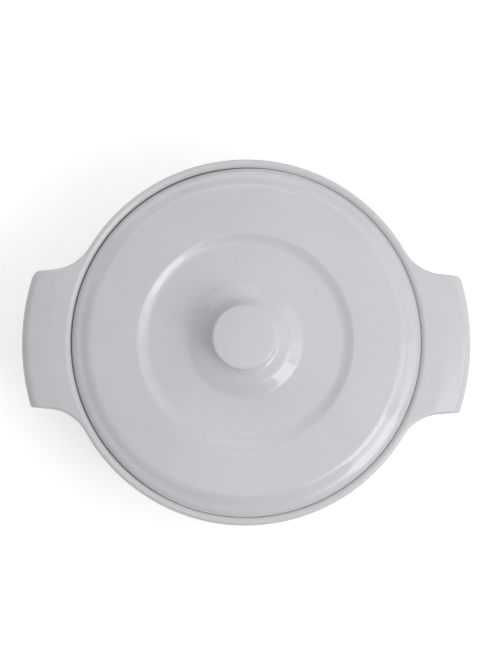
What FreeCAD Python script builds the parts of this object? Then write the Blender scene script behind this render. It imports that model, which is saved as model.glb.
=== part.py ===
"""Round cocotte in glazed ceramic: an oven pot with two lugs, and a lid with a waisted knob.

The pot is one casting. Foot, wall, rim and a brim as wide as the lugs are turned as one profile. The brim is
then trimmed to the plan outline, which leaves two lugs that sweep into the rim, and the trimmed edge is
softened all the way round. The lid is one casting too, with an even wall that follows its top, and it lies
in the seat inside the rim.

Millimetres. +Z is up, +X runs through the lugs, and the origin is the centre of the foot's underside.
"""

import FreeCAD
import Part

import math
import os

from FreeCAD import Vector

# Rim and seat of the lid
rim_radius = 110.0          # outside of the rim, between the lugs
rim_height = 80.0           # top of the rim above the table
rim_width = 5.0             # from the outside of the rim to its wall beside the lid
rim_inner_round = 3.0       # inner edge of the rim
seat_depth = 5.2            # seat below the top of the rim
seat_width = 5.2            # ledge that carries the lid
seat_round = 1.0            # inside corner between ledge and rim

# Wall, floor and foot ring
wall = 6.0                  # wall thickness
wall_draft = 5.0            # degrees that the wall leans outwards
floor_thickness = 6.5
throat_round = 2.0          # edge between the ledge and the inside of the wall
bowl_round = 20.0           # inside, from wall to floor
foot_radius = 75.0          # outside of the foot ring
foot_width = 5.0
foot_height = 2.0
foot_round = 0.8

# Lugs
lug_reach = 25.0            # how far a lug stands out from the rim
lug_half_width = 41.0       # half of a lug's width at its tip
lug_side_angle = 5.0        # degrees that a lug opens towards the pot on each side
lug_sweep = 27.0            # hollow sweep from the side of a lug to the rim, in plan
lug_root_thickness = 13.0   # at the rim
lug_tip_thickness = 9.2     # at the tip, before its edges are rounded
lug_crown = 8.5             # from the rim to the middle of the arc in which the top turns down
lug_fall = 10.8             # degrees that the top slopes down beyond the arc
lug_fall_round = 105.0      # that arc
lug_tip_round = 6.3         # upper edge of the tip
lug_tip_under_round = 3.4   # lower edge of the tip
lug_root_round = 8.0        # hollow between the underside and the wall
edge_round = 1.8            # trimmed edge of rim and lugs

# Lid
lid_clearance = 0.5         # play between lid and rim, all round
lid_wall = 5.0
flange_side = 2.7           # height of the flange's upright side
flange_bevel = 2.6          # width of the bevel above it
flange_edge = 5.2           # thickness of the flange at the head of the bevel
flange_width = 5.8          # from the side to the shoulder
flange_rise = 0.8           # of the flange's top, from the bevel to the shoulder
flange_side_round = 2.2     # between side and bevel
flange_bevel_round = 6.0    # between bevel and top
flange_under_round = 1.0    # lower edge of the flange
shoulder_width = 5.0        # sloping part, in plan
shoulder_rise = 2.9
shoulder_round = 9.0        # both ends of the slope
crown_radius = 80.0         # middle of the arc in which the crown levels out
crown_outer_rise = 0.8      # from the shoulder to there
crown_inner_rise = 0.2      # from there to the step
crown_round = 450.0
step_radius = 64.5          # where the crown turns down to the sunk centre
step_width = 5.2
step_drop = 2.2
step_round = 4.0            # upper edge of the step
step_foot_round = 8.0       # where it meets the sunk centre
centre_rise = 0.4           # from the step to the knob

# Knob
knob_foot_radius = 34.2     # where the raised foot lands on the lid
knob_foot_round = 6.0
knob_foot_slope = 22.5      # degrees of slope round the raised foot
knob_foot_width = 7.2       # that slope, in plan
knob_crest_round = 13.0     # where the slope eases into the top of the foot
knob_crest_slope = 9.0      # degrees that the foot still rises towards the neck
knob_neck_round = 4.5       # between the foot and the neck
knob_lean = 9.0             # degrees that the neck leans outwards to the top
knob_top_radius = 19.6
knob_height = 25.0          # above the lid
knob_edge_round = 1.8
knob_dome = 0.5             # rise of the top towards its middle
knob_dome_round = 250.0
knob_hollow_round = 8.0     # closed end of the hollow inside the knob
knob_cap = 7.5              # clay above the hollow

seat_height = rim_height - seat_depth
seat_radius = rim_radius - rim_width
throat_radius = seat_radius - seat_width
tip_radius = rim_radius + lug_reach


def corner(radius, height, rounding=0.0):
    """Corner of a turned profile, and the rounding that softens it."""
    return Vector(radius, 0, height), rounding


def below(along):
    """Direction square to one in the profile's plane: underneath, for a line that runs towards the axis."""
    return Vector(-along.z, 0, along.x)


def meeting(a, along_a, b, along_b):
    """Point where the line through a meets the line through b."""
    return a + along_a * ((b - a).cross(along_b).y / along_a.cross(along_b).y)


def parallel(corners, distance):
    """Corners of the line that runs at an even distance below an open line, with roundings that match."""
    points = [point for point, rounding in corners]
    ways = [(b - a).normalize() for a, b in zip(points, points[1:])]
    moved = []
    for (point, rounding), before, after in zip(corners[1:-1], ways, ways[1:]):
        place = meeting(point + below(before) * distance, before, point + below(after) * distance, after)
        turns_down = before.dot(below(after)) < 0
        moved.append((place, max(rounding - distance, 0.0) if turns_down else rounding + distance))
    first = (points[0] + below(ways[0]) * distance, 0.0)
    last = (points[-1] + below(ways[-1]) * distance, 0.0)
    return [first] + moved + [last]


def rounded(corners):
    """Closed wire through the corners, each with its rounding, which the runs beside it may limit."""
    count = len(corners)
    points = [point for point, rounding in corners]
    ahead = [points[(i + 1) % count] - points[i] for i in range(count)]
    halves = [(-ahead[i - 1]).getAngle(ahead[i]) / 2 for i in range(count)]
    reach = [rounding / math.tan(half) for (point, rounding), half in zip(corners, halves)]
    share = [1.0] * count
    for i in range(count):
        both = reach[i] + reach[(i + 1) % count]
        if both > ahead[i].Length:
            share[i] = min(share[i], ahead[i].Length / both)
            share[(i + 1) % count] = min(share[(i + 1) % count], ahead[i].Length / both)
    edges = []
    ends = []
    for i in range(count):
        run = reach[i] * share[i]
        into = (-ahead[i - 1]).normalize()
        away = Vector(ahead[i]).normalize()
        start = points[i] + into * run
        end = points[i] + away * run
        if run > 0:
            radius = run * math.tan(halves[i])
            middle = points[i] + (into + away).normalize() * (radius / math.sin(halves[i]) - radius)
            edges.append((i, Part.Arc(start, middle, end).toShape()))
        ends.append((start, end))
    outline = []
    for i in range(count):
        outline += [edge for place, edge in edges if place == i]
        following = ends[(i + 1) % count][0]
        if (following - ends[i][1]).Length > 1e-6:
            outline.append(Part.LineSegment(ends[i][1], following).toShape())
    return Part.Wire(outline)


def turned(corners):
    """Solid turned about Z from a closed profile."""
    return Part.Face(rounded(corners)).revolve(Vector(0, 0, 0), Vector(0, 0, 1), 360)


def pot_blank():
    """The pot before trimming, with a full round brim that is as wide as the lugs."""
    lean = Vector(math.tan(math.radians(wall_draft)), 0, 1)
    floor_height = foot_height + floor_thickness
    inside_foot = Vector(throat_radius, 0, seat_height) - lean * (seat_height - floor_height)
    wall_out = Vector(wall / math.cos(math.radians(wall_draft)), 0, 0)
    outside_foot = inside_foot + wall_out - lean * floor_thickness
    fall_start = rim_radius + lug_crown
    tip_top = rim_height - (tip_radius - fall_start) * math.tan(math.radians(lug_fall))
    tip_under = Vector(tip_radius, 0, tip_top - lug_tip_thickness)
    root_under = Vector(rim_radius, 0, rim_height - lug_root_thickness)
    wall_top = meeting(outside_foot, lean, root_under, tip_under - root_under)
    return turned([
        corner(0, foot_height),
        corner(foot_radius - foot_width, foot_height, foot_round),
        corner(foot_radius - foot_width, 0, foot_round),
        corner(foot_radius, 0, foot_round),
        corner(foot_radius, foot_height, foot_round),
        (outside_foot, bowl_round + wall),
        (wall_top, lug_root_round),
        (tip_under, lug_tip_under_round),
        corner(tip_radius, tip_top, lug_tip_round),
        corner(fall_start, rim_height, lug_fall_round),
        corner(seat_radius, rim_height, rim_inner_round),
        corner(seat_radius, seat_height, seat_round),
        corner(throat_radius, seat_height, throat_round),
        (inside_foot, bowl_round),
        corner(0, floor_height),
    ])


def plan_outline():
    """Plan of rim and lugs: round rim, hollow sweeps, and lug sides that run on past the round tip."""
    slant = math.radians(lug_side_angle)
    inwards = Vector(-math.cos(slant), math.sin(slant), 0)
    outside = Vector(math.sin(slant), math.cos(slant), 0)
    tip = Vector(math.sqrt(tip_radius**2 - lug_half_width**2), lug_half_width, 0)
    # the sweep's centre is one sweep radius from the lug's side and from the rim
    beside = tip + outside * lug_sweep
    half = beside.dot(inwards)
    run = -half - math.sqrt(half**2 - beside.dot(beside) + (rim_radius + lug_sweep)**2)
    centre = beside + inwards * run
    on_side = centre - outside * lug_sweep
    on_rim = centre * (rim_radius / centre.Length)
    between = centre + (on_side + on_rim - centre * 2).normalize() * lug_sweep
    past = tip - inwards * lug_reach
    edges = []
    for x in (1, -1):
        for y in (1, -1):
            far, side, middle, rim = [Vector(p.x * x, p.y * y, 0) for p in (past, on_side, between, on_rim)]
            edges.append(Part.LineSegment(far, side).toShape())
            edges.append(Part.Arc(side, middle, rim).toShape())
        end = past.x * x
        edges.append(Part.LineSegment(Vector(end, past.y, 0), Vector(end, -past.y, 0)).toShape())
    for y in (1, -1):
        right = Vector(on_rim.x, on_rim.y * y, 0)
        left = Vector(-on_rim.x, on_rim.y * y, 0)
        edges.append(Part.Arc(right, Vector(0, rim_radius * y, 0), left).toShape())
    return Part.Face(Part.Wire(Part.__sortEdges__(edges)))


def sharp_edges(solid):
    """Edges where two faces meet at a real angle, and not in a smooth joint."""
    found = []
    for edge in solid.Edges:
        middle = edge.valueAt((edge.FirstParameter + edge.LastParameter) / 2)
        normals = []
        for face in solid.ancestorsOfType(edge, Part.Face):
            normals.append(face.normalAt(*face.Surface.parameter(middle)))
        if len(normals) == 2 and normals[0].getAngle(normals[1]) > math.radians(2):
            found.append(edge)
    return found


def make_pot():
    """Pot with its two lugs."""
    outline = plan_outline()
    outline.translate(Vector(0, 0, -foot_height))
    trimmed = pot_blank().common(outline.extrude(Vector(0, 0, rim_height + 2 * foot_height)))
    pot = trimmed.Solids[0]
    return pot.makeFillet(edge_round, sharp_edges(pot)).Solids[0]


def make_lid():
    """Lid with its knob, resting in the seat."""
    radius = seat_radius - lid_clearance
    bevel_in = radius - flange_bevel
    slope_out = radius - flange_width
    slope_in = slope_out - shoulder_width
    bevel_top = seat_height + flange_edge
    crown_out = bevel_top + flange_rise + shoulder_rise
    crown_in = crown_out + crown_outer_rise + crown_inner_rise
    centre = crown_in - step_drop
    foot = centre + centre_rise
    crest = Vector(knob_foot_radius - knob_foot_width, 0, foot)
    crest.z += knob_foot_width * math.tan(math.radians(knob_foot_slope))
    easing = Vector(-math.cos(math.radians(knob_crest_slope)), 0, math.sin(math.radians(knob_crest_slope)))
    lean = Vector(math.sin(math.radians(knob_lean)), 0, math.cos(math.radians(knob_lean)))
    knob_top = Vector(knob_top_radius, 0, foot + knob_height)
    top = [
        corner(bevel_in, bevel_top, flange_bevel_round),
        corner(slope_out, bevel_top + flange_rise, shoulder_round),
        corner(slope_in, crown_out, shoulder_round),
        corner(crown_radius, crown_out + crown_outer_rise, crown_round),
        corner(step_radius, crown_in, step_round),
        corner(step_radius - step_width, centre, step_foot_round),
        corner(knob_foot_radius, foot, knob_foot_round),
        (crest, knob_crest_round),
        (meeting(crest, easing, knob_top, lean), knob_neck_round),
        (knob_top, knob_edge_round),
    ]
    dome = [
        corner(knob_top_radius / 2, knob_top.z + knob_dome, knob_dome_round),
        corner(0, knob_top.z + knob_dome),
    ]
    # the underside keeps an even wall, from the flange to the hollow inside the knob
    under = parallel(top, lid_wall)
    slope_foot, slope_head = under[1][0], under[2][0]
    level = Vector(1, 0, 0)
    hollow_top = Vector(0, 0, knob_top.z - knob_cap)
    hollow = [
        (hollow_top, 0.0),
        (meeting(under[-1][0], lean, hollow_top, level), knob_hollow_round),
    ]
    flange_under = meeting(slope_foot, slope_head - slope_foot, Vector(0, 0, seat_height), level)
    flange = [
        (flange_under, shoulder_round + lid_wall),
        corner(radius, seat_height, flange_under_round),
        corner(radius, seat_height + flange_side, flange_side_round),
    ]
    return turned(top + dome + hollow + under[-2:1:-1] + flange)


if __name__ == "__main__":
    os.makedirs("parts", exist_ok=True)
    make_pot().exportStep("parts/pot.step")
    make_lid().exportStep("parts/lid.step")
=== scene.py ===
"""Looks of the round cocotte: pale glossy glaze on a cast pot with two lugs and on its lid.

Both pieces are numpy surfaces. The lid is one profile turned about Z. The pot is a stack of closed rings that
starts in the middle of the bowl's floor, runs up the inside, over the rim and the lugs and down the outside,
and ends under the foot. Metres, in the frame of the solids: +Z up, +X through the lugs.
"""

import math

import bpy
import mathutils
import numpy as np
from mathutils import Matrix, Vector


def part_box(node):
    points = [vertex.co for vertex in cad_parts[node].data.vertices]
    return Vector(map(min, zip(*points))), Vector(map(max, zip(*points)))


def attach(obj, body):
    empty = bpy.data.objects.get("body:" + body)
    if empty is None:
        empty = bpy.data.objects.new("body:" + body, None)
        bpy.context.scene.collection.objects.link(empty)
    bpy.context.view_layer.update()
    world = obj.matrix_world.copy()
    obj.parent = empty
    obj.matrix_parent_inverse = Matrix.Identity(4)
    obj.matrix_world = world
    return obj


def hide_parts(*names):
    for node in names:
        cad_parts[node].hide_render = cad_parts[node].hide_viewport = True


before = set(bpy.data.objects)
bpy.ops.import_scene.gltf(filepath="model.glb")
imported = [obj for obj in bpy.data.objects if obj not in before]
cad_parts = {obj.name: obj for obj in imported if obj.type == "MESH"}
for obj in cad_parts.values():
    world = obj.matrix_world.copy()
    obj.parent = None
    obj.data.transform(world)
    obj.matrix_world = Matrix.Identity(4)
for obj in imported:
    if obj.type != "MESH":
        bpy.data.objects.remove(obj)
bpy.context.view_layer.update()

MM = 0.001
_, pot_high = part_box("pot")
lid_low, lid_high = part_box("lid")

# Rim, seat and wall
RIM_HEIGHT = pot_high[2]
RIM_RADIUS = pot_high[1]
TIP_RADIUS = pot_high[0]
RIM_WIDTH = 5.0 * MM
RIM_INNER_ROUND = 3.0 * MM
EDGE_ROUND = 1.8 * MM
CREST_RADIUS = RIM_RADIUS - EDGE_ROUND
SEAT_HEIGHT = lid_low[2]
SEAT_WIDTH = 5.2 * MM
SEAT_ROUND = 1.0 * MM
WALL = 6.0 * MM
WALL_DRAFT = math.radians(5.0)
FLOOR_THICKNESS = 6.5 * MM
THROAT_ROUND = 2.0 * MM
BOWL_ROUND = 20.0 * MM
FOOT_RADIUS = 75.0 * MM
FOOT_WIDTH = 5.0 * MM
FOOT_HEIGHT = 2.0 * MM
FOOT_ROUND = 0.8 * MM

# Lugs
LUG_HALF_WIDTH = 41.0 * MM
LUG_SIDE_ANGLE = math.radians(5.0)
LUG_SWEEP = 27.0 * MM
LUG_CORNERS = (4.0 * MM, 5.8 * MM, 2.5 * MM, 2.0 * MM)   # plan roundings, anticlockwise from the right back
LUG_CROWN = 8.5 * MM
LUG_FALL = math.radians(10.8)
LUG_FALL_ROUND = 105.0 * MM
LUG_TIP_ROUND = 6.3 * MM
LUG_TIP_UNDER_ROUND = 3.4 * MM
LUG_ROOT_THICKNESS = 13.0 * MM
LUG_TIP_THICKNESS = 9.2 * MM
LUG_ROOT_ROUND = 8.0 * MM
LUG_ROOT_INSET = 0.3 * MM               # the outside is turned in circles from this far inside the crest
BEYOND_TIP = 0.1                        # part of the underside's length that its line runs on past the tip

# Lid
LID_RADIUS = lid_high[0]
LID_WALL = 5.0 * MM
FLANGE_SIDE = 2.7 * MM
FLANGE_BEVEL = 2.6 * MM
FLANGE_EDGE = 5.2 * MM
FLANGE_WIDTH = 5.8 * MM
FLANGE_RISE = 0.8 * MM
FLANGE_SIDE_ROUND = 2.2 * MM
FLANGE_BEVEL_ROUND = 6.0 * MM
FLANGE_UNDER_ROUND = 1.0 * MM
SHOULDER_WIDTH = 5.0 * MM
SHOULDER_RISE = 2.9 * MM
SHOULDER_ROUND = 9.0 * MM
CROWN_RADIUS = 80.0 * MM
CROWN_OUTER_RISE = 0.8 * MM
CROWN_INNER_RISE = 0.2 * MM
CROWN_ROUND = 450.0 * MM
STEP_RADIUS = 64.5 * MM
STEP_WIDTH = 5.2 * MM
STEP_DROP = 2.2 * MM
STEP_ROUND = 4.0 * MM
STEP_FOOT_ROUND = 8.0 * MM
CENTRE_RISE = 0.4 * MM

# Fired ware is never quite even: on one side the lid's edge is fuller and lies against the rim
NEAR_AZIMUTH = math.radians(-15.0)      # middle of that side
NEAR_SPAN = (-0.6, 0.0)                 # cosines of the angle from there at which it starts and is complete
EDGE_OUT = (-0.1 * MM, 0.46 * MM)       # how far the edge stands out, on the far side and on this one
EDGE_WIDTH = 9.0 * MM                   # part of the flange that moves with it
EDGE_LIFT = 0.8 * MM                    # how much higher its bevel starts
BEVEL_REACH = 0.9 * MM                  # part of the flange that this fills

# Knob
KNOB_FOOT_RADIUS = 34.2 * MM
KNOB_FOOT_ROUND = 6.0 * MM
KNOB_FOOT_SLOPE = math.radians(22.5)
KNOB_FOOT_WIDTH = 7.2 * MM
KNOB_CREST_ROUND = 13.0 * MM
KNOB_CREST_SLOPE = math.radians(9.0)
KNOB_NECK_ROUND = 4.5 * MM
KNOB_LEAN = math.radians(9.0)
KNOB_TOP_RADIUS = 19.6 * MM
KNOB_HEIGHT = 25.0 * MM
KNOB_EDGE_ROUND = 1.8 * MM
KNOB_DOME = 0.5 * MM
KNOB_DOME_ROUND = 250.0 * MM
KNOB_HOLLOW_ROUND = 8.0 * MM
KNOB_CAP = 7.5 * MM

# Glaze
GLAZE_FULL = (0.617, 0.630, 0.657, 1)
GLAZE_POOLED = (0.612, 0.622, 0.636, 1)
GLAZE_THIN = (0.618, 0.624, 0.630, 1)
GLAZE_FLOW = 1.2 * MM                   # how far the glaze thins or pools beside an edge or a hollow
GLAZE_TURNS = (60.0, 400.0)             # turns of the surface, per metre, where that starts and is complete
SHARP_TURNS = (-380.0, -540.0)          # turns over an edge where the glaze starts to dull and is dullest
SHARP_ROUGHNESS = 0.2
GLAZE_ROUGHNESS = (0.09, 0.13)
FADE = (0.3, 0.7)                       # values of a cloudy field between which its effect changes
CLOUD_SIZE = 45 * MM
CLOUD_SHADES = (0.985, 1.015)
MOTTLE_SIZE = 3.5 * MM
MOTTLE_SHADES = (0.993, 1.007)
MOTTLE_SHOWS = (0.55, 1.0)              # part of the pooling and thinning that shows through the mottle
WAVE_LENGTH = 16 * MM
WAVE_HEIGHT = 0.05 * MM
RIPPLE_LENGTH = 5 * MM
RIPPLE_HEIGHT = 0.006 * MM
PIT_SPACING = 9 * MM
PIT_EDGE = (0.018, 0.034)               # from a pit's floor to level glaze, as shares of the spacing
PIT_DEPTH = 0.05 * MM
PIT_ROUGHNESS = 0.2

# Bare clay
CLAY_BODY = (0.70, 0.655, 0.58, 1)
CLAY_SPECK = (0.42, 0.33, 0.25, 1)
CLAY_ROUGHNESS = (0.78, 0.92)
GRAIN_SIZE = 0.5 * MM
GRAIN_SHADES = (0.95, 1.03)
GRAIN_HEIGHT = 0.04 * MM
STAIN_SIZE = 12 * MM
STAIN_SHADES = (0.94, 1.04)
SPECK_SPACING = 2.6 * MM
SPECK_EDGE = (0.05, 0.12)               # from a speck's full colour to none, as shares of the spacing
SPECK_STRENGTH = 0.7
BARE_FOOT = 0.7 * MM                    # bare clay on the foot ring reaches this high
BARE_FLANGE = 0.5 * MM                  # and this high above the seat, under the lid's flange
WANDER_LENGTH = 6 * MM                  # waves in the line where the glaze ends
WANDER_HEIGHT = 0.5 * MM
LINE_EDGE = (0.2 * MM, 0.35 * MM)       # how far above those heights the glaze starts and is full

# How finely the surfaces are divided
ARC_STEP = math.radians(6.0)
RUN_PARTS = 8
CLOSEST = 0.01 * MM         # points nearer than this are one
TINY = 1e-9                 # lengths and turns below this are none
LID_PARTS = 288
RING_PARTS = {"tip": 20, "corner": 10, "side": 7, "sweep": 13, "rim": 34}
TOP_PARTS = 14              # from the rim's inner edge out over a lug
EDGE_PARTS = 12             # over each rounded edge
SIDE_PARTS = 4              # from the upper edge to the lower
UNDER_PARTS = 12            # from the lower edge back to the wall

# Camera and light
CAMERA_DISTANCE = 1.3
CAMERA_AZIMUTH = math.radians(16.3)
CAMERA_ELEVATION = math.radians(85.1)
CAMERA_ROLL = math.radians(0.83)
CAMERA_AIM = (1.1 * MM, 6.6 * MM)
CAMERA_LENS = 79.07
CAMERA_SENSOR = 24.0
CAMERA_CLIP = 50.0
LIGHT_DISTANCE = 1.3
LIGHTS = {                  # degrees round from +X and up, width and height, brightness of the face
    "key": (-35, 46, (0.43, 0.55), 4.6),
    "key head": (-35, 60, (0.75, 0.45), 1.75),
    "key foot": (-35, 28, (0.43, 0.3), 2.0),
    "second": (-5, 43, (0.4, 0.7), 1.6),
    "right": (30, 46, (0.6, 0.6), 0.6),
    "fill": (105, 48, (1.0, 0.7), 0.96),
    "left": (225, 46, (0.8, 0.6), 0.15),
    "overhead": (-20, 78, (0.9, 0.8), 0.63),
    "low right": (45, 13, (1.6, 0.5), 1.15),
    "low left": (135, 13, (1.0, 0.5), 1.0),
    "low front": (285, 13, (0.8, 0.5), 0.4),
}
SKY = 0.302
FLOOR_REACH = 6.0
FLOOR_COLOUR = (0.75, 0.75, 0.75, 1)
FLOOR_ROUGHNESS = 0.9
FLOOR_GLOW = (0.5, 1.0)     # near the object, and where the lamps no longer reach
FLOOR_GLOW_SPAN = (0.5, 2.5)            # how far away those are


def make_camera():
    """Camera almost straight above the lid, turned so that the lugs lie level in the picture."""
    centre = mathutils.Vector((0, 0, RIM_HEIGHT))
    flat = CAMERA_DISTANCE * math.cos(CAMERA_ELEVATION)
    place = centre + mathutils.Vector((
        flat * math.sin(CAMERA_AZIMUTH),
        -flat * math.cos(CAMERA_AZIMUTH),
        CAMERA_DISTANCE * math.sin(CAMERA_ELEVATION),
    ))
    look = (centre + mathutils.Vector((*CAMERA_AIM, 0)) - place).normalized()
    right = look.cross(mathutils.Vector((0, 1, 0))).normalized()
    up = right.cross(look)
    turn = mathutils.Matrix.Rotation(CAMERA_ROLL, 3, -look)
    axes = mathutils.Matrix((turn @ right, turn @ up, -look)).transposed()
    data = bpy.data.cameras.new("camera")
    data.sensor_fit = "VERTICAL"
    data.sensor_height = CAMERA_SENSOR
    data.lens = CAMERA_LENS
    data.clip_end = CAMERA_CLIP
    camera = bpy.data.objects.new("camera", data)
    camera.matrix_world = mathutils.Matrix.Translation(place) @ axes.to_4x4()
    bpy.context.scene.collection.objects.link(camera)
    bpy.context.scene.camera = camera


make_camera()


def meeting(a, along_a, b, along_b):
    """Point where the line through a meets the line through b, all in the (radius, height) plane."""
    across = along_a[0] * along_b[1] - along_a[1] * along_b[0]
    gap = b - a
    return a + along_a * ((gap[0] * along_b[1] - gap[1] * along_b[0]) / across)


def profile(corners):
    """Points of an open line of (radius, height, rounding) corners. Each rounding is an arc that touches
    the two runs beside it, and is smaller where a run is too short. Runs are divided more finely at their
    ends."""
    spots = np.array([corner[:2] for corner in corners], float)
    runs = np.linalg.norm(np.diff(spots, axis=0), axis=1)
    ways = np.diff(spots, axis=0) / runs[:, None]
    halves = (math.pi - np.arccos(np.clip((ways[:-1] * ways[1:]).sum(1), -1, 1))) / 2
    reach = np.zeros(len(spots))
    reach[1:-1] = np.array([corner[2] for corner in corners[1:-1]]) / np.tan(halves)
    room = np.minimum(1, runs / np.maximum(reach[:-1] + reach[1:], TINY))
    reach[1:-1] *= np.minimum(room[:-1], room[1:])
    starts = spots - reach[:, None] * ways[np.maximum(np.arange(len(spots)) - 1, 0)]
    ends = spots + reach[:, None] * ways[np.minimum(np.arange(len(spots)), len(ways) - 1)]
    share = (1 - np.cos(np.linspace(0, math.pi, RUN_PARTS + 1)))[1:-1, None] / 2
    line = [spots[:1]]
    for i in range(1, len(spots)):
        line.append(ends[i - 1] + (starts[i] - ends[i - 1]) * share)
        if i < len(spots) - 1:
            line.append(arc(starts[i], ways[i - 1], ends[i], ways[i]))
    line.append(spots[-1:])
    points = np.vstack(line)
    apart = np.linalg.norm(np.diff(points, axis=0), axis=1) > CLOSEST
    return points[np.concatenate([[True], apart])]


def arc(start, before, end, after):
    """Points of the arc that leaves its start along one direction and reaches its end along another. With t
    from 0 to the whole turn, each is the start, plus radius times sin t along the first direction, plus
    radius times (1 - cos t) square to it."""
    side = np.array((-before[1], before[0]))
    turn = math.atan2(side @ after, before @ after)
    if abs(turn) < TINY or np.allclose(start, end):
        return np.array([start])
    radius = np.linalg.norm(end - start) / (2 * math.sin(abs(turn) / 2))
    t = np.linspace(0, abs(turn), max(2, math.ceil(abs(turn) / ARC_STEP)) + 1)[:, None]
    return start + radius * (np.sin(t) * before + math.copysign(1, turn) * (1 - np.cos(t)) * side)


def parallel(corners, distance):
    """Corners of the line that runs a distance below an open line, with roundings to match."""
    spots = [np.array(corner[:2]) for corner in corners]
    ways = [(b - a) / np.linalg.norm(b - a) for a, b in zip(spots, spots[1:])]
    downs = [np.array((-way[1], way[0])) for way in ways]
    moved = []
    for i, corner in enumerate(corners[1:-1]):
        spot = spots[i + 1]
        place = meeting(spot + downs[i] * distance, ways[i], spot + downs[i + 1] * distance, ways[i + 1])
        grows = ways[i] @ downs[i + 1] > 0
        moved.append((*place, corner[2] + distance if grows else max(corner[2] - distance, 0.0)))
    return moved


def hollowness(line):
    """How much each point of a section lies in a hollow, per metre: the turn of the line within the reach of
    the glaze's flow, over that length. Positive in a hollow and negative on an edge, for a line that keeps
    the clay on its right."""
    ways = np.diff(line, axis=0)
    lengths = np.linalg.norm(ways, axis=1)
    along = np.concatenate([[0], np.cumsum(lengths)])
    angles = np.unwrap(np.arctan2(ways[:, 1], ways[:, 0]))
    middles = (along[1:] + along[:-1]) / 2
    ahead = np.interp(along + GLAZE_FLOW, middles, angles)
    back = np.interp(along - GLAZE_FLOW, middles, angles)
    return (ahead - back) / (2 * GLAZE_FLOW)


def skin(name, rings, first, last, hollow):
    """Closed surface through a stack of closed rings, one quad between each four neighbours, with the first
    and last ring closed by a fan on a pole. hollow holds one value per ring and point."""
    count, around, _ = rings.shape
    points = np.vstack([rings.reshape(-1, 3), first, last])
    ring, spot = np.meshgrid(np.arange(count - 1), np.arange(around), indexing="ij")
    after = (spot + 1) % around
    quads = np.stack([
        ring * around + spot, ring * around + after,
        (ring + 1) * around + after, (ring + 1) * around + spot,
    ], -1).reshape(-1, 4)
    here = np.arange(around)
    there = (here + 1) % around
    base = (count - 1) * around
    start_fan = np.stack([there, here, np.full(around, count * around)], 1)
    end_fan = np.stack([base + here, base + there, np.full(around, count * around + 1)], 1)
    mesh = bpy.data.meshes.new(name)
    mesh.from_pydata(points.tolist(), [], quads.tolist() + start_fan.tolist() + end_fan.tolist())
    mesh.attributes.new("hollow", "FLOAT", "POINT")
    values = np.concatenate([hollow.ravel(), [0.0, 0.0]]).astype(np.float32)
    mesh.attributes["hollow"].data.foreach_set("value", values)
    mesh.shade_smooth()
    mesh.update()
    piece = bpy.data.objects.new(name, mesh)
    bpy.context.scene.collection.objects.link(piece)
    return piece


def smooth(share):
    """Smooth step of a share from 0 to 1, held at both ends: 3 times its square less 2 times its cube."""
    share = np.clip(share, 0, 1)
    return share**2 * (3 - 2 * share)


def lid_section():
    """Section of the lid, from the middle of the knob's top out to the flange and back under to the axis."""
    slope_out = LID_RADIUS - FLANGE_WIDTH
    slope_in = slope_out - SHOULDER_WIDTH
    bevel_top = SEAT_HEIGHT + FLANGE_EDGE
    crown_out = bevel_top + FLANGE_RISE + SHOULDER_RISE
    crown_in = crown_out + CROWN_OUTER_RISE + CROWN_INNER_RISE
    centre = crown_in - STEP_DROP
    foot = centre + CENTRE_RISE
    crest = np.array((KNOB_FOOT_RADIUS - KNOB_FOOT_WIDTH, foot + KNOB_FOOT_WIDTH * math.tan(KNOB_FOOT_SLOPE)))
    easing = np.array((-math.cos(KNOB_CREST_SLOPE), math.sin(KNOB_CREST_SLOPE)))
    lean = np.array((math.sin(KNOB_LEAN), math.cos(KNOB_LEAN)))
    knob_top = np.array((KNOB_TOP_RADIUS, foot + KNOB_HEIGHT))
    top = [
        (LID_RADIUS - FLANGE_BEVEL, bevel_top, FLANGE_BEVEL_ROUND),
        (slope_out, bevel_top + FLANGE_RISE, SHOULDER_ROUND),
        (slope_in, crown_out, SHOULDER_ROUND),
        (CROWN_RADIUS, crown_out + CROWN_OUTER_RISE, CROWN_ROUND),
        (STEP_RADIUS, crown_in, STEP_ROUND),
        (STEP_RADIUS - STEP_WIDTH, centre, STEP_FOOT_ROUND),
        (KNOB_FOOT_RADIUS, foot, KNOB_FOOT_ROUND),
        (*crest, KNOB_CREST_ROUND),
        (*meeting(crest, easing, knob_top, lean), KNOB_NECK_ROUND),
        (*knob_top, KNOB_EDGE_ROUND),
    ]
    under = parallel(top, LID_WALL)
    level = np.array((1.0, 0.0))
    slope_foot, slope_head = np.array(under[0][:2]), np.array(under[1][:2])
    flange_in = meeting(slope_foot, slope_head - slope_foot, np.array((0, SEAT_HEIGHT)), level)
    side = np.array(under[-1][:2])
    hollow_top = np.array((0, knob_top[1] - KNOB_CAP))
    corners = [
        (0, knob_top[1] + KNOB_DOME, 0),
        (KNOB_TOP_RADIUS / 2, knob_top[1] + KNOB_DOME, KNOB_DOME_ROUND),
        *top[::-1],
        (LID_RADIUS, SEAT_HEIGHT + FLANGE_SIDE, FLANGE_SIDE_ROUND),
        (LID_RADIUS, SEAT_HEIGHT, FLANGE_UNDER_ROUND),
        (*flange_in, SHOULDER_ROUND + LID_WALL),
        *under[1:],
        (*meeting(side, lean, hollow_top, level), KNOB_HOLLOW_ROUND),
        (*hollow_top, 0),
    ]
    return profile(corners)


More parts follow.
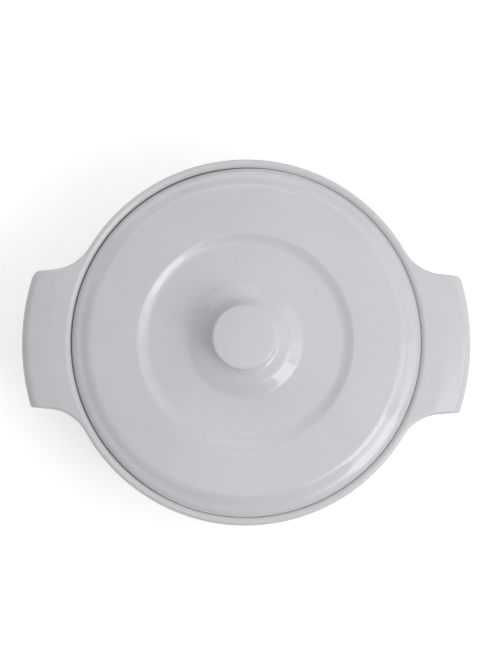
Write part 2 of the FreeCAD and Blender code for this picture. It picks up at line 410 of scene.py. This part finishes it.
def make_lid():
    """Lid as one profile turned about Z: x and y are radius times cosine and sine, z is the height. A fade
    towards the edge is added to the radius, times how far the edge stands out at that angle, and one to the
    height, times how near the angle is to the side of the fuller edge."""
    line = lid_section()
    hollow = hollowness(line)
    angles = np.linspace(0, 2 * math.pi, LID_PARTS, endpoint=False)
    ring = np.stack([np.cos(angles), np.sin(angles)], 1)
    body = line[1:-1]
    near = smooth((np.cos(angles - NEAR_AZIMUTH) - NEAR_SPAN[0]) / (NEAR_SPAN[1] - NEAR_SPAN[0]))
    out = EDGE_OUT[0] + (EDGE_OUT[1] - EDGE_OUT[0]) * near
    radius, height = body[:, :1], body[:, 1:]
    moves = smooth(1 - (LID_RADIUS - radius) / EDGE_WIDTH)
    fills = smooth(1 - (LID_RADIUS - radius) / BEVEL_REACH)
    fills = fills * np.clip((height - SEAT_HEIGHT) / FLANGE_SIDE, 0, 1)
    rings = np.empty((len(body), LID_PARTS, 3))
    rings[:, :, :2] = (radius + moves * out)[:, :, None] * ring[None]
    rings[:, :, 2] = height + EDGE_LIFT * fills * near
    poles = [(0, 0, line[0][1]), (0, 0, line[-1][1])]
    hollow = np.repeat(hollow[1:-1, None], LID_PARTS, 1)
    return skin("lid_glazed", rings[::-1], poles[1], poles[0], hollow[::-1])


def arc_points(centre, radius, start, end, count):
    """Points on the shorter arc about a centre, from the direction of one point to that of another."""
    a = math.atan2(*(start - centre)[::-1])
    b = math.atan2(*(end - centre)[::-1])
    b = a + (b - a + math.pi) % (2 * math.pi) - math.pi
    angles = np.linspace(a, b, count + 1)[:-1]
    return centre + radius * np.stack([np.cos(angles), np.sin(angles)], 1)


def quarter_ring(side_inset, tip_inset, corner):
    """Quarter of the plan outline, from the middle of a lug's tip to the side of the rim: tip arc, corner
    arc, straight side, hollow sweep and rim arc, each moved inwards. Also how far each point belongs to the
    tip."""
    side = np.array((-math.cos(LUG_SIDE_ANGLE), math.sin(LUG_SIDE_ANGLE)))
    out = np.array((math.sin(LUG_SIDE_ANGLE), math.cos(LUG_SIDE_ANGLE)))
    tip_corner = np.array((math.sqrt(TIP_RADIUS**2 - LUG_HALF_WIDTH**2), LUG_HALF_WIDTH))

    def touching(point, radius):
        """Where the line through point along the side first comes within radius of the middle."""
        half = point @ side
        return point + side * (-half - math.sqrt(half**2 - point @ point + radius**2))

    sweep = touching(tip_corner + out * LUG_SWEEP, RIM_RADIUS + LUG_SWEEP)
    tip_radius = TIP_RADIUS - tip_inset
    round_at = touching(tip_corner - out * (side_inset + corner), tip_radius - corner)
    on_tip = round_at * tip_radius / (tip_radius - corner)
    on_side = round_at + out * corner
    sweep_start = sweep - out * (LUG_SWEEP + side_inset)
    sweep_end = sweep * (RIM_RADIUS - side_inset) / (RIM_RADIUS + LUG_SWEEP)
    middle = np.zeros(2)
    share = np.linspace(0, 1, RING_PARTS["side"] + 1)[:-1, None]
    parts = [
        arc_points(middle, tip_radius, np.array((1.0, 0)), on_tip, RING_PARTS["tip"]),
        arc_points(round_at, corner, on_tip, on_side, RING_PARTS["corner"]),
        on_side + (sweep_start - on_side) * share,
        arc_points(sweep, LUG_SWEEP + side_inset, sweep_start, sweep_end, RING_PARTS["sweep"]),
        arc_points(middle, RIM_RADIUS - side_inset, sweep_end, np.array((0, 1.0)), RING_PARTS["rim"]),
        np.array([[0, RIM_RADIUS - side_inset]]),
    ]
    fade = np.linspace(1, 0, RING_PARTS["corner"] + 1)[:-1]
    tipness = np.zeros(sum(len(part) for part in parts))
    tipness[:RING_PARTS["tip"]] = 1
    tipness[RING_PARTS["tip"]:RING_PARTS["tip"] + RING_PARTS["corner"]] = smooth(fade)
    return np.vstack(parts), tipness


def plan_ring(side_inset, tip_inset):
    """Closed plan outline, anticlockwise from the middle of the right lug, moved inwards by two insets.
    Also how far each point belongs to a tip."""
    points = []
    tips = []
    for i, (x, y) in enumerate(((1, 1), (-1, 1), (-1, -1), (1, -1))):
        quarter, tipness = quarter_ring(side_inset, tip_inset, LUG_CORNERS[i])
        quarter = quarter * (x, y)
        if i % 2:
            quarter, tipness = quarter[::-1], tipness[::-1]
        points.append(quarter[:-1])
        tips.append(tipness[:-1])
    return np.vstack(points), np.concatenate(tips)


def pot_sections():
    """The pot's turned lines: inside from the floor's middle to the rim's crest, top of the lugs outwards,
    and underside and outside from beyond a lug's tip to the middle of the foot."""
    lean = np.array((math.tan(WALL_DRAFT), 1.0))
    seat_radius = RIM_RADIUS - RIM_WIDTH
    throat = np.array((seat_radius - SEAT_WIDTH, SEAT_HEIGHT))
    floor_height = FOOT_HEIGHT + FLOOR_THICKNESS
    inside_foot = throat - lean * (SEAT_HEIGHT - floor_height)
    outside_foot = inside_foot + (WALL / math.cos(WALL_DRAFT), 0) - lean * FLOOR_THICKNESS
    fall_start = RIM_RADIUS + LUG_CROWN
    tip_top = RIM_HEIGHT - (TIP_RADIUS - fall_start) * math.tan(LUG_FALL)
    tip_under = np.array((TIP_RADIUS, tip_top - LUG_TIP_THICKNESS))
    root_under = np.array((RIM_RADIUS, RIM_HEIGHT - LUG_ROOT_THICKNESS))
    wall_top = meeting(outside_foot, lean, root_under, tip_under - root_under)
    inside = profile([
        (0, floor_height, 0),
        (*inside_foot, BOWL_ROUND),
        (*throat, THROAT_ROUND),
        (seat_radius, SEAT_HEIGHT, SEAT_ROUND),
        (seat_radius, RIM_HEIGHT, RIM_INNER_ROUND),
        (CREST_RADIUS, RIM_HEIGHT, 0),
    ])
    top = profile([
        (CREST_RADIUS, RIM_HEIGHT, 0),
        (fall_start, RIM_HEIGHT, LUG_FALL_ROUND),
        (TIP_RADIUS, tip_top, 0),
    ])
    outside = profile([
        (*(tip_under + (tip_under - root_under) * BEYOND_TIP), 0),
        (*wall_top, LUG_ROOT_ROUND),
        (*outside_foot, BOWL_ROUND + WALL),
        (FOOT_RADIUS, FOOT_HEIGHT, FOOT_ROUND),
        (FOOT_RADIUS, 0, FOOT_ROUND),
        (FOOT_RADIUS - FOOT_WIDTH, 0, FOOT_ROUND),
        (FOOT_RADIUS - FOOT_WIDTH, FOOT_HEIGHT, FOOT_ROUND),
        (0, FOOT_HEIGHT, 0),
    ])
    return inside, top, outside


def make_pot():
    """Pot as a stack of rings. Inside and outside are circles at the angles of the plan outline's points.
    On the lugs each ring is the plan outline moved inwards, at the height of the turned top or underside
    there."""
    inside, top, outside = pot_sections()
    outline, tipness = plan_ring(0, 0)
    turns = outline / np.linalg.norm(outline, axis=1)[:, None]

    def circles(line):
        """Rings of a turned line."""
        rings = np.empty((len(line), len(turns), 3))
        rings[:, :, :2] = line[:, None, :1] * turns[None]
        rings[:, :, 2] = line[:, 1:]
        return rings

    def at_height(plan, line):
        """A plan ring laid on a turned line: its height at each point's distance from the middle."""
        order = np.argsort(line[:, 0])
        return np.interp(np.linalg.norm(plan, axis=1), line[order, 0], line[order, 1])

    def edge_rings(line, angles, tip_round, up):
        """Rounded edge beside a turned line. At angle t each ring lies r (1 - sin t) inside the outline and
        r (1 - cos t) below or above the line, and the rounding r changes from the sides to the tip."""
        rings = []
        for angle in angles:
            side, tip = EDGE_ROUND * (1 - math.sin(angle)), tip_round * (1 - math.sin(angle))
            plan, _ = plan_ring(side, tip)
            depth = EDGE_ROUND + (tip_round - EDGE_ROUND) * tipness
            height = at_height(plan, line) + up * depth * (1 - math.cos(angle))
            rings.append(np.column_stack([plan, height]))
        return np.array(rings)

    def between(inner, outer, line, parts):
        """Rings that pass from a circle to the first ring of an edge, on a turned line."""
        share = (1 - np.cos(np.linspace(0, math.pi, parts + 1)))[1:-1] / 2
        plans = inner * turns[None] + (outer[None, :, :2] - inner * turns[None]) * share[:, None, None]
        rings = []
        for plan in plans:
            rings.append(np.column_stack([plan, at_height(plan, line)]))
        return np.array(rings)

    bend = np.linspace(0, math.pi / 2, EDGE_PARTS + 1)
    tip_reach = LUG_TIP_ROUND * math.tan(math.pi / 4 - LUG_FALL / 2)
    upper = edge_rings(top, bend, tip_reach, -1)
    lower = edge_rings(outside, bend[::-1], LUG_TIP_UNDER_ROUND, 1)
    root = CREST_RADIUS - LUG_ROOT_INSET
    below = outside[outside[:, 0] < root]
    share = np.linspace(0, 1, SIDE_PARTS + 1)[1:-1, None, None]
    side = upper[-1] + (lower[0] - upper[-1]) * share
    stack = [
        circles(inside[1:-1]),
        between(inside[-2, 0], upper[0], top, TOP_PARTS),
        upper,
        side,
        lower,
        between(root, lower[-1], outside, UNDER_PARTS)[::-1],
        circles(below[:-1]),
    ]
    rings = np.concatenate(stack)
    hollow = np.zeros(rings.shape[:2])
    inner_bend = hollowness(inside)
    outer_bend = hollowness(below)
    hollow[:len(inside) - 2] = inner_bend[1:-1, None]
    hollow[-len(below) + 1:] = outer_bend[:-1, None]
    edge_start = len(stack[0]) + len(stack[1])
    # This edge keeps its gloss, so its turns are held where the dulling would start
    edge_bend = -1 / (EDGE_ROUND + (tip_reach - EDGE_ROUND) * tipness)
    hollow[edge_start:edge_start + len(upper)] = np.maximum(edge_bend, SHARP_TURNS[0])
    poles = [(0, 0, inside[0][1]), (0, 0, outside[-1][1])]
    return skin("pot_glazed", rings[::-1], poles[1], poles[0], hollow[::-1])


def add(tree, kind, settings=None, inputs=None):
    """New node with its settings, and its inputs set to a value or linked to another node's output."""
    made = tree.nodes.new(kind)
    for name, value in (settings or {}).items():
        setattr(made, name, value)
    for socket, value in (inputs or {}).items():
        if isinstance(value, bpy.types.NodeSocket):
            tree.links.new(value, made.inputs[socket])
        else:
            made.inputs[socket].default_value = value
    return made


def noise(tree, place, grain, detail=2.0):
    """Cloudy field from 0 to 1 whose spots are about as large as the grain."""
    made = add(tree, "ShaderNodeTexNoise", None, {"Vector": place, "Scale": 1 / grain, "Detail": detail})
    return made.outputs["Fac"]


def ramp(tree, value, low, high, to_low=0.0, to_high=1.0):
    """The value passed from one range to another, smoothly, and held at both ends."""
    made = add(tree, "ShaderNodeMapRange", {"interpolation_type": "SMOOTHSTEP"}, {
        "Value": value, "From Min": low, "From Max": high, "To Min": to_low, "To Max": to_high,
    })
    return made.outputs["Result"]


def maths(tree, operation, a, b):
    """Two values worked together."""
    return add(tree, "ShaderNodeMath", {"operation": operation}, {0: a, 1: b}).outputs[0]


def blend_colour(tree, mask, a, b, way="MIX"):
    """Colour a where the mask is 0 and b, or a worked with b, where it is 1."""
    made = add(tree, "ShaderNodeMix", {"data_type": "RGBA", "blend_type": way}, {0: mask, 6: a, 7: b})
    return made.outputs[2]


def blend_value(tree, mask, a, b):
    """Value a where the mask is 0 and b where it is 1."""
    return add(tree, "ShaderNodeMix", None, {0: mask, 2: a, 3: b}).outputs[0]


def shaded(tree, colour, a, b):
    """The colour made darker or lighter by two values near 1."""
    shade = maths(tree, "MULTIPLY", a, b)
    grey = add(tree, "ShaderNodeCombineColor", None, {0: shade, 1: shade, 2: shade}).outputs[0]
    return blend_colour(tree, 1.0, colour, grey, "MULTIPLY")


def dots(tree, place, spacing, edge):
    """Mask of scattered round dots: 1 within the first share of the spacing and 0 beyond the second."""
    cells = add(tree, "ShaderNodeTexVoronoi", None, {"Vector": place, "Scale": 1 / spacing})
    return ramp(tree, cells.outputs["Distance"], *edge, 1.0, 0.0)


def new_group(name, inputs, outputs):
    """Empty shader node group with named sockets, and its input and output nodes."""
    group = bpy.data.node_groups.new(name, "ShaderNodeTree")
    kinds = {"value": "NodeSocketFloat", "colour": "NodeSocketColor"}
    for socket, kind in inputs:
        group.interface.new_socket(socket, in_out="INPUT", socket_type=kinds[kind])
    for socket, kind in outputs:
        group.interface.new_socket(socket, in_out="OUTPUT", socket_type=kinds[kind])
    return group, group.nodes.new("NodeGroupInput").outputs, group.nodes.new("NodeGroupOutput")


def glaze_group():
    """Fired glaze. It pools in hollows, thins on edges and is duller on the sharpest ones, with faint clouds,
    tiny pits and a soft waviness that bends its reflections. Height is in millimetres."""
    group, given, result = new_group(
        "glaze",
        [("Hollow", "value"), ("Full", "colour"), ("Pooled", "colour"), ("Thin", "colour")],
        [("Colour", "colour"), ("Roughness", "value"), ("Height", "value")],
    )
    place = add(group, "ShaderNodeTexCoord").outputs["Object"]
    clouds = noise(group, place, CLOUD_SIZE, detail=3.0)
    mottle = noise(group, place, MOTTLE_SIZE, detail=4.0)
    pooled = ramp(group, given["Hollow"], GLAZE_TURNS[0], GLAZE_TURNS[1])
    thin = ramp(group, given["Hollow"], -GLAZE_TURNS[0], -GLAZE_TURNS[1])
    shows = ramp(group, mottle, *FADE, *MOTTLE_SHOWS)
    colour = blend_colour(group, maths(group, "MULTIPLY", pooled, shows), given["Full"], given["Pooled"])
    colour = blend_colour(group, maths(group, "MULTIPLY", thin, shows), colour, given["Thin"])
    cloudy = ramp(group, clouds, *FADE, *CLOUD_SHADES)
    mottled = ramp(group, mottle, *FADE, *MOTTLE_SHADES)
    pits = dots(group, place, PIT_SPACING, PIT_EDGE)
    waves = noise(group, place, WAVE_LENGTH, detail=1.0)
    ripples = noise(group, place, RIPPLE_LENGTH, detail=1.0)
    waves = maths(group, "MULTIPLY", waves, WAVE_HEIGHT / MM)
    ripples = maths(group, "MULTIPLY", ripples, RIPPLE_HEIGHT / MM)
    height = maths(group, "ADD", waves, ripples)
    height = maths(group, "SUBTRACT", height, maths(group, "MULTIPLY", pits, PIT_DEPTH / MM))
    roughness = ramp(group, mottle, *FADE, *GLAZE_ROUGHNESS)
    roughness = maths(group, "ADD", roughness, maths(group, "MULTIPLY", pits, PIT_ROUGHNESS))
    dull = ramp(group, given["Hollow"], *SHARP_TURNS, 0.0, SHARP_ROUGHNESS)
    group.links.new(shaded(group, colour, cloudy, mottled), result.inputs["Colour"])
    group.links.new(maths(group, "ADD", roughness, dull), result.inputs["Roughness"])
    group.links.new(height, result.inputs["Height"])
    return group


def bare_clay_group():
    """Unglazed fired clay: a dry warm white body with sandy grain, faint stains and scattered specks. Height
    is in millimetres."""
    group, given, result = new_group(
        "bare_clay",
        [("Body", "colour"), ("Speck", "colour")],
        [("Colour", "colour"), ("Roughness", "value"), ("Height", "value")],
    )
    place = add(group, "ShaderNodeTexCoord").outputs["Object"]
    grain = noise(group, place, GRAIN_SIZE, detail=4.0)
    stains = noise(group, place, STAIN_SIZE, detail=3.0)
    specks = dots(group, place, SPECK_SPACING, SPECK_EDGE)
    stained = ramp(group, stains, *FADE, *STAIN_SHADES)
    grainy = ramp(group, grain, *FADE, *GRAIN_SHADES)
    colour = shaded(group, given["Body"], stained, grainy)
    colour = blend_colour(group, maths(group, "MULTIPLY", specks, SPECK_STRENGTH), colour, given["Speck"])
    group.links.new(colour, result.inputs["Colour"])
    group.links.new(ramp(group, grain, *FADE, *CLAY_ROUGHNESS), result.inputs["Roughness"])
    group.links.new(maths(group, "MULTIPLY", grain, GRAIN_HEIGHT / MM), result.inputs["Height"])
    return group


def glazed_clay(name, glaze, clay, bare_below):
    """Glazed pottery. The glaze ends in a slightly wavy line at the height below which the clay is bare."""
    material = bpy.data.materials.new(name)
    material.use_nodes = True
    tree = material.node_tree
    shader = tree.nodes["Principled BSDF"]
    hollow = add(tree, "ShaderNodeAttribute", {"attribute_name": "hollow"}).outputs["Fac"]
    over = add(tree, "ShaderNodeGroup", {"node_tree": glaze}, {
        "Hollow": hollow, "Full": GLAZE_FULL, "Pooled": GLAZE_POOLED, "Thin": GLAZE_THIN,
    }).outputs
    under = add(tree, "ShaderNodeGroup", {"node_tree": clay}, {
        "Body": CLAY_BODY, "Speck": CLAY_SPECK,
    }).outputs
    place = add(tree, "ShaderNodeTexCoord").outputs["Object"]
    height = add(tree, "ShaderNodeSeparateXYZ", None, {0: place}).outputs["Z"]
    wander = maths(tree, "MULTIPLY", noise(tree, place, WANDER_LENGTH), WANDER_HEIGHT)
    line = maths(tree, "ADD", height, wander)
    bare = ramp(tree, line, bare_below + LINE_EDGE[0], bare_below + LINE_EDGE[1], 1.0, 0.0)
    colour = blend_colour(tree, bare, over["Colour"], under["Colour"])
    dryness = blend_value(tree, bare, over["Roughness"], under["Roughness"])
    relief = blend_value(tree, bare, over["Height"], under["Height"])
    bump = add(tree, "ShaderNodeBump", None, {"Distance": MM, "Height": relief})
    tree.links.new(colour, shader.inputs["Base Color"])
    tree.links.new(dryness, shader.inputs["Roughness"])
    tree.links.new(bump.outputs["Normal"], shader.inputs["Normal"])
    return material


def area_light(name, azimuth, elevation, size, radiance):
    """Rectangular soft light that faces the lid, given by its direction and by how bright its face is."""
    data = bpy.data.lights.new(name, "AREA")
    data.shape = "RECTANGLE"
    data.size, data.size_y = size
    data.energy = radiance * math.pi * size[0] * size[1]
    light = bpy.data.objects.new(name, data)
    target = mathutils.Vector((0, 0, RIM_HEIGHT))
    flat = math.cos(elevation)
    way = mathutils.Vector((math.cos(azimuth) * flat, math.sin(azimuth) * flat, math.sin(elevation)))
    light.location = target + way * LIGHT_DISTANCE
    light.rotation_euler = way.to_track_quat("Z", "Y").to_euler()
    bpy.context.scene.collection.objects.link(light)


def seen(tree):
    """Mask that is 1 for the rays that show the background: from the camera, reflected and let through."""
    rays = add(tree, "ShaderNodeLightPath").outputs
    direct = maths(tree, "MAXIMUM", rays["Is Camera Ray"], rays["Is Glossy Ray"])
    return maths(tree, "MAXIMUM", direct, rays["Is Transmission Ray"])


def make_floor():
    """Pale floor. The camera sees it close to white, with the object's shadow. Its glow grows with the
    distance from the object."""
    mesh = bpy.data.meshes.new("floor")
    corners = [(x * FLOOR_REACH, y * FLOOR_REACH, 0) for x, y in ((-1, -1), (1, -1), (1, 1), (-1, 1))]
    mesh.from_pydata(corners, [], [(0, 1, 2, 3)])
    floor = bpy.data.objects.new("floor", mesh)
    bpy.context.scene.collection.objects.link(floor)
    material = bpy.data.materials.new("floor")
    material.use_nodes = True
    tree = material.node_tree
    shader = tree.nodes["Principled BSDF"]
    shader.inputs["Base Color"].default_value = FLOOR_COLOUR
    shader.inputs["Roughness"].default_value = FLOOR_ROUGHNESS
    place = add(tree, "ShaderNodeTexCoord").outputs["Object"]
    away = add(tree, "ShaderNodeVectorMath", {"operation": "LENGTH"}, {0: place}).outputs["Value"]
    level = ramp(tree, away, *FLOOR_GLOW_SPAN, *FLOOR_GLOW)
    glow = add(tree, "ShaderNodeEmission", None, {"Strength": maths(tree, "MULTIPLY", seen(tree), level)})
    both = add(tree, "ShaderNodeAddShader", None, {0: shader.outputs[0], 1: glow.outputs[0]})
    tree.links.new(both.outputs[0], tree.nodes["Material Output"].inputs["Surface"])
    mesh.materials.append(material)


def make_sky():
    """Even dim light from all round, which is seen as white."""
    world = bpy.data.worlds.new("studio")
    bpy.context.scene.world = world
    world.use_nodes = True
    tree = world.node_tree
    background = tree.nodes["Background"]
    background.inputs["Color"].default_value = (1, 1, 1, 1)
    tree.links.new(maths(tree, "MAXIMUM", seen(tree), SKY), background.inputs["Strength"])


glaze = glaze_group()
clay = bare_clay_group()
for piece, node, slot, bare_below in (
    (make_lid(), "lid", "lid_glaze", SEAT_HEIGHT + BARE_FLANGE),
    (make_pot(), "pot", "pot_glaze", BARE_FOOT),
):
    piece.data.materials.append(glazed_clay(slot, glaze, clay, bare_below))
    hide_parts(node)
    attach(piece, "root")

make_floor()
for name, (azimuth, elevation, size, radiance) in LIGHTS.items():
    area_light(name, math.radians(azimuth), math.radians(elevation), size, radiance)
make_sky()
bpy.context.scene.view_settings.view_transform = "Standard"
